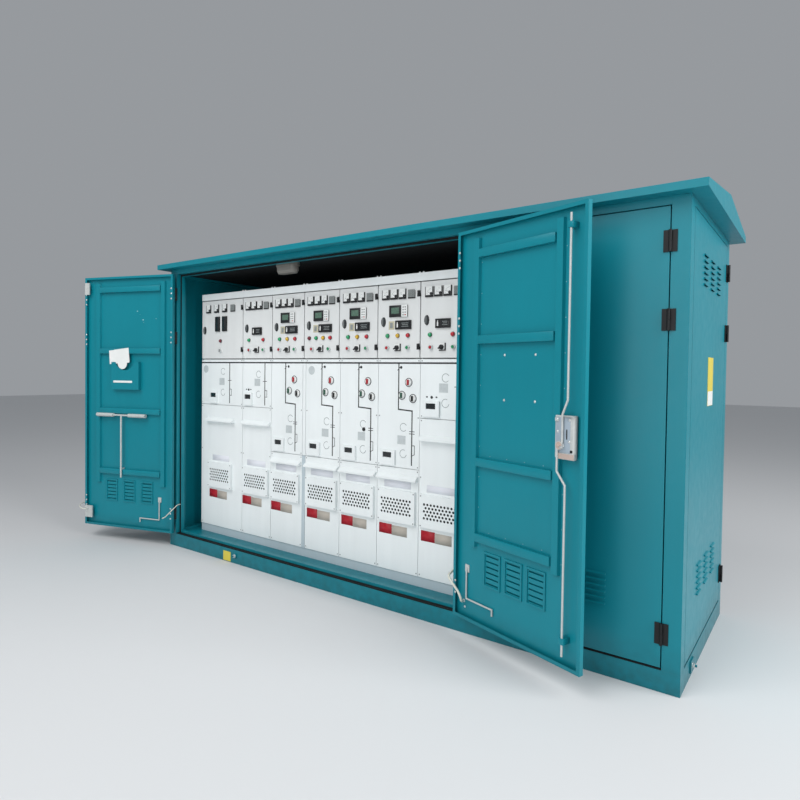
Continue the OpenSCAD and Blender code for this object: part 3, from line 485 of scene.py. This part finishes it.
# Alarm window block: a field of small grey tiles
tile = plate(7.7, 7.2, 1.0, 0.3)
for i in bays:
    left = 360 if i == 0 else 235
    tiles = bmesh.new()
    for a in range(6):
        for b in range(6):
            put(tiles, tile, on_door(i, left + 4.7 + 8.5 * a, 1871 + 4 + 8 * b, 5.9))
    fit(f"alarm_tiles_{i + 1}", tiles, [grey_plastic], small_leaves[i])


# Screens and displays
# The protection relay has a green-grey liquid crystal screen behind a glossy window, with a light
# keypad beside it. Below it sits a display unit with a white rocker.
def window_glass(name, colour, roughness=0.08):
    """A dark or tinted window seen under a clear glossy cover, with faint bands behind it."""
    material, tree, output = start_material(name)
    where = add_node(tree, "ShaderNodeTexCoord").outputs["Object"]
    bands = add_node(tree, "ShaderNodeTexNoise", {"Vector": where, "Scale": 120.0, "Detail": 2.0})
    shade = add_node(tree, "ShaderNodeMapRange",
        {0: bands.outputs["Fac"], 1: 0.35, 2: 0.65, 3: 0.82, 4: 1.15})
    tinted = add_node(tree, "ShaderNodeVectorMath", {0: linear(colour)[:3], "Scale": shade.outputs[0]},
        operation="SCALE")
    shader = add_node(tree, "ShaderNodeBsdfPrincipled", {"Base Color": tinted.outputs[0],
        "Roughness": roughness, "Coat Weight": 0.4, "Coat Roughness": 0.05})
    tree.links.new(shader.outputs[0], output.inputs[0])
    return material


relay_doors = range(2, 6)
lcd_green = window_glass("liquid_crystal_screen", "#5a7767", 0.25)
dark_window = window_glass("smoked_acrylic_window", "#24282a")
red_plastic = moulded_plastic("red_moulded_abs", "#b3212d", 0.35, 0.2)
for i in relay_doors:
    screen = bmesh.new()
    put(screen, plate(94, 71, 1.4, 0.5), on_door(i, 142, 1791, 7.4), 0)
    put(screen, plate(60, 38, 0.8, 0.2), on_door(i, 141, 1794, 8.4), 1)
    put(screen, plate(45, 73, 2.0, 0.8), on_door(i, 211, 1791, 7.4), 2)
    for a in range(2):
        for b in range(4):
            put(screen, plate(9, 7, 1.6, 0.5), on_door(i, 203 + 16 * a, 1766 + 16 * b, 9.2),
                4 if (a, b) == (1, 0) else 3)
    fit(f"relay_screen_{i + 1}", screen,
        [black_plastic, lcd_green, white_plastic, grey_plastic, red_plastic], small_leaves[i])
for i in range(1, 7):
    middle, half = (202, 59) if i in relay_doors else (163, 51)
    display = bmesh.new()
    put(display, plate(2 * half - 50, 34, 0.8, 0.2), on_door(i, middle + 16, 1705, 9.6), 0)
    for k in range(3):
        put(display, plate(2 * half - 66 - 8 * (k % 2), 3, 0.3, 0),
            on_door(i, middle + 16, 1695 + 10 * k, 10.3), 2)
    put(display, plate(10, 22, 3.2, 1.2), on_door(i, middle - half + 18, 1700, 9.6), 1)
    put(display, plate(6, 12, 3.0, 1.0), on_door(i, middle - half + 18, 1716, 9.6), 1)
    fit(f"display_{i + 1}", display, [dark_window, white_plastic, grey_plastic], small_leaves[i])
breakers = bmesh.new()
for left in (177, 262):
    put(breakers, plate(44, 105, 1.0, 0.3), on_door(0, left + 27.5, 1773, 8.0), 0)
    for k in range(4):
        put(breakers, plate(16, 9, 3.4, 1.0), on_door(0, left + 27.5, 1741 + 21 * k, 8.8), 0)
put(breakers, plate(28, 116, 3.0, 0.8), on_door(0, 247, 1773, 0.1), 1)
put(breakers, plate(136, 8, 2.0, 0.5), on_door(0, 247, 1710, 0.1), 1)
fit("breaker_fronts", breakers, [dark_window, white_plastic], small_leaves[0])

# Bare name plates beside the displays, and the oval swing locks
lock_plate = disc(17, 31, 8.5, 32, (0.82, 0.9))
for i in bays:
    lock = bmesh.new()
    x = 40 if i == 0 else 47
    put(lock, lock_plate, on_door(i, x, 1727), 0)
    put(lock, plate(5, 44, 3.5, 1.2), on_door(i, x, 1728, 8.2), 1)
    fit(f"swing_lock_{i + 1}", lock, [dark_grey_plastic, grey_plastic], small_leaves[i])
for i in relay_doors:
    label = bmesh.new()
    put(label, plate(44, 52, 0.9, 0.3), on_door(i, 109, 1704), 0)
    put(label, plate(22, 34, 0.5, 0.1), on_door(i, 108, 1704, 0.9), 1)
    fit(f"bare_label_{i + 1}", label, [beige_plastic, grey_plastic], small_leaves[i])


# Lamps and switches
# Indicator lamps with domed acrylic lenses in black bezels. Under them sit an on button, a cam switch on
# a square plate and an off button, each in a plated ring.
def lens(name, colour):
    """Ribbed coloured acrylic over a dark lamp: deep colour with a clear gloss."""
    material, tree, output = start_material(name)
    where = add_node(tree, "ShaderNodeTexCoord").outputs["Object"]
    facets = add_node(tree, "ShaderNodeTexVoronoi", {"Vector": where, "Scale": 450.0})
    shade = add_node(tree, "ShaderNodeMapRange",
        {0: facets.outputs["Distance"], 1: 0.0, 2: 0.8, 3: 0.8, 4: 1.2})
    tinted = add_node(tree, "ShaderNodeVectorMath", {0: linear(colour)[:3], "Scale": shade.outputs[0]},
        operation="SCALE")
    bump = add_node(tree, "ShaderNodeBump",
        {"Strength": 0.25, "Distance": 0.0003, "Height": facets.outputs["Distance"]})
    shader = add_node(tree, "ShaderNodeBsdfPrincipled", {"Base Color": tinted.outputs[0],
        "Roughness": 0.18, "Normal": bump.outputs[0], "Coat Weight": 0.5, "Coat Roughness": 0.08})
    tree.links.new(shader.outputs[0], output.inputs[0])
    return material


green_lens = lens("green_acrylic_lens", "#1d9a62")
yellow_lens = lens("amber_acrylic_lens", "#d3a82a")
red_lens = lens("red_acrylic_lens", "#b8182a")
dark_red_lens = lens("unlit_red_acrylic_lens", "#6d1226")
green_plastic = moulded_plastic("green_moulded_abs", "#1f8a58", 0.35, 0.2)
bezel = turned([(12.8, 0), (14.6, 0), (14.6, 2.6), (13.9, 3.6), (12.8, 3.6)], 28)
dome = turned([(0, 16.2), (4.2, 15.8), (8.4, 14.3), (11.3, 11.6), (12.7, 8.2), (12.9, 0.2)], 28)
ring = turned([(12.2, 0.1), (15, 0.1), (15, 4), (13.6, 5.6), (13.2, 14.2), (12.6, 14.9), (10, 14.9),
    (10, 13.6)], 28)
button = turned([(0, 17.4), (8.4, 17), (9.4, 15.6), (9.5, 14.05)], 24)
cam_knob = turned([(0, 20), (12, 19.4), (14.4, 17.5), (14.8, 7.0)], 24)
three = ((80, green_lens), (158, yellow_lens), (236, red_lens))
four = ((51, dark_red_lens), (116, green_lens), (181, yellow_lens), (246, red_lens))
two = ((72, green_lens), (230, red_lens))
lamp_sets = (((238, dark_red_lens),), two, three, four, three, three, two)
for i, lamps_here in enumerate(lamp_sets):
    row = bmesh.new()
    for k, (x, finish) in enumerate(lamps_here):
        put(row, bezel, on_door(i, x, 1639), 0)
        put(row, dome, on_door(i, x, 1639), k + 1)
    fit(f"indicator_lamps_{i + 1}", row, [black_plastic] + [finish for x, finish in lamps_here],
        small_leaves[i])
    switches = bmesh.new()
    if i == 0:
        put(switches, ring, on_door(i, 238, 1564), 0)
        put(switches, button, on_door(i, 238, 1564), 3)
        put(switches, plate(4, 20, 4, 1), on_door(i, 238, 1564, 16.6, 35), 4)
    else:
        for x, colour in ((80, 1), (236, 2)):
            put(switches, ring, on_door(i, x, 1564), 0)
            put(switches, button, on_door(i, x, 1564), colour)
        # The light plate sits off centre on a larger black plate, so a black border shows only on the
        # right and lower sides: painted shadow under the light plate.
        put(switches, plate(46, 46, 6, 1.2), on_door(i, 160, 1566, 0.05), 3)
        put(switches, plate(40, 40, 1.5, 0.5), on_door(i, 157, 1569, 5.6), 4)
        put(switches, cam_knob, on_door(i, 158, 1564), 3)
        put(switches, plate(9, 38, 9, 2.4), on_door(i, 158, 1564, 18, -62), 3)
    fit(f"switches_{i + 1}", switches,
        [bright_zinc, red_plastic, green_plastic, black_plastic, white_plastic], small_leaves[i])


# Bay fronts
# Printed black single-line diagrams, plugs over the unused holes, the red, green and black grips of the
# drives on square plates, and the glass of the position windows.
bay_lefts = (140, 645, 966, 1317, 1638, 1959, 2280)
tall_bays = range(2, 6)
panel_feet = [817 if i in tall_bays else 1135 for i in bays]


def on_bay(i, x, z, out=0, turn=0):
    """A place on the front of a bay: x from its left edge, z absolute, out in front of the sheet."""
    return at(corner, bay_lefts[i] + x, row_face - out, z, facing_front, turn)


line_black = moulded_plastic("black_screen_print", "#16181a", 0.5)
lines = bmesh.new()


def draw(points, wide=8):
    """A printed line through points on the row, in millimetres from the cabinet's corner."""
    for (x0, z0), (x1, z1) in zip(points, points[1:]):
        length = math.hypot(x1 - x0, z1 - z0) + wide
        turn = math.degrees(math.atan2(z1 - z0, x1 - x0))
        put(lines, plate(length, wide, 0.3, 0), at(corner, (x0 + x1) / 2, row_face, (z0 + z1) / 2,
            facing_front, turn))


draw([(142, 1469), (2599, 1469)], 10)
for i, x in ((0, 350), (1, 249), (6, 262)):
    left = bay_lefts[i]
    draw([(left + x, 1466), (left + x, 1156)])
    draw([(left + x - 20, 1330), (left + x + 20, 1330)], 4)
    draw([(left + x, 1262), (left + x + 22, 1262), (left + x + 22, 1214), (left + x + 8, 1214)], 4)
for i, x, jog in ((2, 148, 248), (3, 152, 254), (4, 159, 262), (5, 160, 264)):
    left = bay_lefts[i]
    draw([(left + x, 1466), (left + x, 1181), (left + jog, 1175), (left + jog, 842)])
    draw([(left + x - 9, 1425), (left + x + 9, 1443)], 4)
    draw([(left + jog - 18, 1048), (left + jog + 18, 1048)], 4)
    draw([(left + jog - 18, 1034), (left + jog + 18, 1034)], 4)
    draw([(left + jog, 962), (left + jog + 20, 962), (left + jog + 20, 908), (left + jog + 6, 900)], 4)
fit("printed_diagrams", lines, [line_black])

# The dark grey ring round each dial is partly a printed ring and partly painted shadow, standing for the
# dark crescent beside the raised dial.
dial_ring_and_shadow = turned([(23.5, 0), (27.5, 0), (27.5, 1.2), (23.5, 1.2)], 32)
dial = turned([(0, 7.6), (17, 7.2), (20.4, 6.2), (21.6, 4), (22, 0)], 32)
grip = plate(13, 34, 17.5, 3)
grips = bmesh.new()
plug = turned([(0, 3.6), (7, 3.2), (8.4, 1.8), (8.8, 0)], 18)
for i in tall_bays:
    for (x, z), colour in (((236, 1350), 1), ((186, 1269), 2), ((268, 1252), 0)):
        put(grips, dial_ring_and_shadow, on_bay(i, x, z, 0.02), 3)
        put(grips, dial, on_bay(i, x, z, 0.05), 4)
        put(grips, grip, on_bay(i, x, z, 0.1), colour)
    put(grips, plug, on_bay(i, 178, 1442), 0)
grip_green = moulded_plastic("dark_green_moulded_abs", "#2c5a48", 0.4)
put(grips, turned([(0, 5), (11, 4.6), (12.5, 3), (13, 0)], 24), on_bay(4, 206, 1038), 0)
for i, x, gap in ((1, 70, 24), (6, 84, 34)):
    put(grips, plug, on_bay(i, x, 1264), 0)
    for side in (-gap, gap):
        put(grips, plate(12, 8, 1.5, 0.4), on_bay(i, x + side, 1266), 3)
fit("drive_grips", grips, [black_plastic, red_plastic, grip_green, dark_grey_plastic, white_plastic])

windows = bmesh.new()
for i in bays:
    wide, left = {0: (92, 115), 1: (92, 24)}.get(i, (120, 24))
    put(windows, plate(67, 33, 0.8, 0), on_bay(i, left + wide / 2, panel_feet[i] + 76, 7.05))
fit("position_window_glass", windows, [dark_window])

# Faint printed guide rings, bare instruction plates beside the diagrams and two bare round plates
print_grey = moulded_plastic("grey_screen_print", "#8d9697", 0.5)
guide = printed_arc(23, 26.5, 290, 28, 0.2)
guides = bmesh.new()
for i in bays:
    x, top, low, middle = ((200, 1071, 907, 992) if i in tall_bays else
        (270, 1400, 1235, 1320) if i == 0 else (180, 1382, 1232, 1322))
    put(guides, guide, on_bay(i, x, top, 0.1, 30))
    put(guides, guide, on_bay(i, x, low, 0.1, 60))
    put(guides, plate(62, 54, 0.3, 0), on_bay(i, x - 14, middle, 0.02), 1)
for i in (0, 3):
    put(guides, turned([(0, 0.5), (30, 0.4), (30.4, 0)], 40), on_bay(i, 54, 1417), 1)
pale_print = moulded_plastic("pale_grey_film", "#c6cdce", 0.5)
fit("guide_prints", guides, [print_grey, pale_print])

# Black sheets behind the perforated vent boxes, painted shade that makes the holes look dark, and their
# corner rivets
vent_shade_black = powder_coat("vent_painted_shade", "#0b0c0d", 0.9, 0.002)
vents = bmesh.new()
for i in bays:
    left = 105 if i == 0 else 18
    put(vents, plate(276, 192, 0.6, 0), on_bay(i, left + 142.5, 577, 17.2))
fit("vent_shade_sheets", vents, [vent_shade_black])
rivets = bmesh.new()
rivet = turned([(0, 2.4), (3, 1.9), (4.4, 0)], 12)
for i in bays:
    left, wide = (105, 505) if i == 0 else (18, 321)
    for x in (left + 9, left + 276):
        for z in (487, 667):
            put(rivets, rivet, on_bay(i, x, z, 20))
    foot = panel_feet[i]
    for x in (12, wide - 12):
        for z in (1483, foot + 14, foot - 14, 181, 1135 if i in tall_bays else 776):
            put(rivets, rivet, on_bay(i, x, z))
fit("row_rivets", rivets, [grey_plastic])

# Caps on top of the low voltage housing
caps = bmesh.new()
cap = turned([(0, 9), (4.5, 8), (6, 5), (6.4, 0)], 14)
housing_top = 2016
for x in door_lefts[1:]:
    for side in (-14, 14):
        put(caps, cap, corner @ Matrix.Translation((x + side, 199, housing_top)))
fit("housing_top_caps", caps, [white_plastic])

# Bare plates on the cable covers
bare_red = powder_coat("red_printed_vinyl", "#b01f2c", 0.35, 0.003)
bare_beige = powder_coat("beige_grey_vinyl", "#bdb5aa", 0.45, 0.003)
bare_lilac = powder_coat("pale_lilac_grey_vinyl", "#e8eaf1", 0.45, 0.003)
plates = bmesh.new()
for i, left in enumerate((105, 4, 4, 18, 18, 18, 18)):
    put(plates, plate(100, 64, 0.5, 0.1), on_bay(i, left + 52, 423), 0)
    put(plates, plate(116, 62, 0.5, 0.1), on_bay(i, left + 161, 420), 1)
    put(plates, plate(205, 44, 0.5, 0.1), on_bay(i, 247 if i == 0 else 160, 712), 2)
fit("cable_cover_plates", plates, [bare_red, bare_beige, bare_lilac])


# Spot welds of the stiffening channels
# The folded channels of the open leaves are spot welded; each weld is a small dimple, coloured pale
# blue-green as a painted highlight where it catches the light.
weld_highlight = powder_coat("weld_painted_highlight", "#8fbcc2", 0.3, 0.002)
weld = turned([(0, 0.9), (1.6, 0.6), (2.4, 0)], 10)
dots = bmesh.new()
for u in (118, 779):
    for k in range(10):
        put(dots, weld, at(left_leaf, u, sheet, 600 + 152 * k, facing_in))
fit("left_leaf_welds", dots, [weld_highlight])
dots = bmesh.new()
for u in (162, 697):
    for k in range(10):
        put(dots, weld, at(middle_leaf, -u, sheet, 560 + 158 * k, facing_in))
for k in range(4):
    put(dots, weld, at(middle_leaf, -(240 + 115 * k), sheet, 990, facing_in))
    put(dots, weld, at(middle_leaf, -(240 + 115 * k), sheet, 598, facing_in))
fit("middle_leaf_welds", dots, [weld_highlight], "middle_leaf")


# Cross channels of the open leaves
# Each open leaf has four folded hat channels across it, spot welded between its uprights and painted
# with the leaf. They close over the ribs of the solids.
wide_channel, narrow_channel = plate(604, 44, 23.6, 3), plate(489, 44, 23.6, 3)
channels = bmesh.new()
for z in (568, 1066, 1554, 2053):
    put(channels, wide_channel, at(left_leaf, 425, sheet, z, facing_in))
    put(channels, wide_channel, at(folding_leaf, 455, sheet, z, facing_in))
fit("left_pair_cross_channels", channels, [teal_coat])
channels = bmesh.new()
for z in (563, 955, 1585, 2028):
    put(channels, narrow_channel, at(middle_leaf, -402.5, sheet, z, facing_in))
fit("middle_leaf_cross_channels", channels, [teal_coat], "middle_leaf")


# Lock case of the middle leaf
# A folded tray in old blue-grey plating carries the gear. Its top ledge is bright, the hub in its lower
# corner is yellow-passivated, and a folded foot closes the bottom; above the foot a black plate is
# painted shade for the slot.
pale_case = plated_steel("dull_blue_grey_plating", "#a9b8c4", 0.36, 0.03, 0.2)
rosy_zinc = plated_steel("yellow_pink_passivated_zinc", "#cdb9ae", 0.4, 0.006, 0.35)
spindle = turned([(0, 6), (5, 5.8), (5.6, 5), (5.6, 1.2), (10.5, 1), (15, 0.4), (17.6, 0)], 24)
gear = bmesh.new()
put(gear, plate(78, 158, 0.8, 0.2), at(middle_leaf, -717, 31.1, 1146, facing_in), 0)
put(gear, plate(52, 12, 1.2, 0.5), at(middle_leaf, -754, 43, 1233, Matrix.Identity(4)), 1)
put(gear, plate(52, 4, 1.2, 0.5), at(middle_leaf, -754, 45, 1231, facing_in), 1)
put(gear, plate(84, 23, 0.8, 0.3), at(middle_leaf, -738, 36, 1053, facing_in), 2)
# A black plate stands for the slot above the foot: painted shade.
put(gear, plate(61, 11, 0.4, 0), at(middle_leaf, -737.5, 26.2, 1075.5, facing_in), 3)
put(gear, spindle, at(middle_leaf, -705, 45, 1100, facing_in), 2)
put(gear, plate(30, 8, 2.4, 0.8), at(middle_leaf, -722, 45.2, 1096, facing_in, 24), 1)
put(gear, plate(6, 44, 1.6, 0.5), at(middle_leaf, -738, 32, 1150, facing_in), 4)
for u, out, z in ((685, 35, 1213), (752, 31.9, 1214), (752, 31.9, 1118), (688, 31.9, 1160)):
    put(gear, screw, at(middle_leaf, -u, out, z, facing_in), 1)
fit("lock_case_fittings", gear, [pale_case, bright_zinc, rosy_zinc, black_plastic, dark_grey_plastic],
    "middle_leaf")


# Guides of the lock rods
# Two folded brackets, painted with the leaf, hold the lock rods near their ends.
guide_cover = plate(29, 27, 45.6, 1.2)
covers = bmesh.new()
for u, z in ((738, 238), (746, 2061)):
    put(covers, guide_cover, at(middle_leaf, -u, 1.9, z, facing_in))
fit("rod_guides", covers, [teal_coat], "middle_leaf")


# Lead across the hinge of the middle leaf
# A braided copper lead in a cream sleeve earths the door. It is crimped to a stud on the post's stop and
# to one on the leaf, with slack for the whole swing.
lead_start, lead_end = corner @ Vector((2661, 46, 340)), middle_leaf @ Vector((-64, 12, 198))
lead_route = [lead_start] + [corner @ Vector(place) for place in ((2654, 40, 340), (2650, 8, 337),
    (2650, -30, 330))]
lead_route += [middle_leaf @ Vector((-u, out, z)) for u, out, z in ((-8, 50, 318), (10, 54, 304),
    (40, 54, 282), (66, 50, 258), (80, 46, 234), (80, 38, 214), (72, 26, 202))] + [lead_end]
route = bpy.data.curves.new("middle_door_lead", "CURVE")
route.dimensions = "3D"
route.bevel_depth = 0.0065
route.bevel_resolution = 4
route.use_fill_caps = True
spline = route.splines.new("BEZIER")
spline.bezier_points.add(len(lead_route) - 1)
for point, place in zip(spline.bezier_points, lead_route):
    point.co = place
    point.handle_left_type = point.handle_right_type = "AUTO"
holder = bpy.data.objects.new("middle_door_lead_route", route)
lead_mesh = bpy.data.meshes.new_from_object(holder)
bpy.data.objects.remove(holder)
lead_mesh.name = "middle_door_lead"
lead_mesh.materials.append(lead_cover)
lead_mesh.polygons.foreach_set("use_smooth", [True] * len(lead_mesh.polygons))
door_lead = bpy.data.objects.new("middle_door_lead", lead_mesh)
bpy.context.scene.collection.objects.link(door_lead)
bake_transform(door_lead)
lug = turned([(0, 9), (4.5, 9), (6.4, 7), (6.4, 2), (9, 1.8), (9, 0)], 16)
stud = bmesh.new()
put(stud, lug, corner @ Matrix.Translation((2668, 46, 340)) @ Matrix.Rotation(math.radians(-90), 4, "Y"))
fit("post_lead_stud", stud, [bright_zinc])
stud = bmesh.new()
put(stud, lug, at(middle_leaf, -64, sheet, 198, facing_in))
fit("leaf_lead_stud", stud, [bright_zinc], "middle_leaf")


# Lower part of the right marker plate
# The plate is yellow film over aluminium; its lower quarter is a plain white field.
white_film = powder_coat("white_film_plate", "#e9ebe8", 0.35, 0.003)
field = bmesh.new()
on_right_end = corner @ Matrix.Translation((3800, 0, 0)) @ Matrix.Rotation(math.radians(90), 4, "Z")
put(field, plate(153, 72, 0.4, 0), at(on_right_end, 590.5, -1.5, 1299.5))
fit("marker_white_field", field, [white_film], "end_leaf")


# Earth terminals
# Zinc-plated nuts and washers on the two painted earth studs of the plinth.
nut = turned([(6.2, 0), (11, 0), (11.6, 1.2), (11.6, 7.8), (11, 9), (6.2, 9)], 6)
washer = turned([(6.2, 0), (14, 0), (14, 1.8), (6.2, 1.8)], 24)
nuts = bmesh.new()
for side, x, z in ((corner, 802, 56), (on_right_end, 250, 50)):
    put(nuts, washer, at(side, x, -6, z))
    put(nuts, nut, at(side, x, -8, z))
fit("earth_nuts", nuts, [bright_zinc])
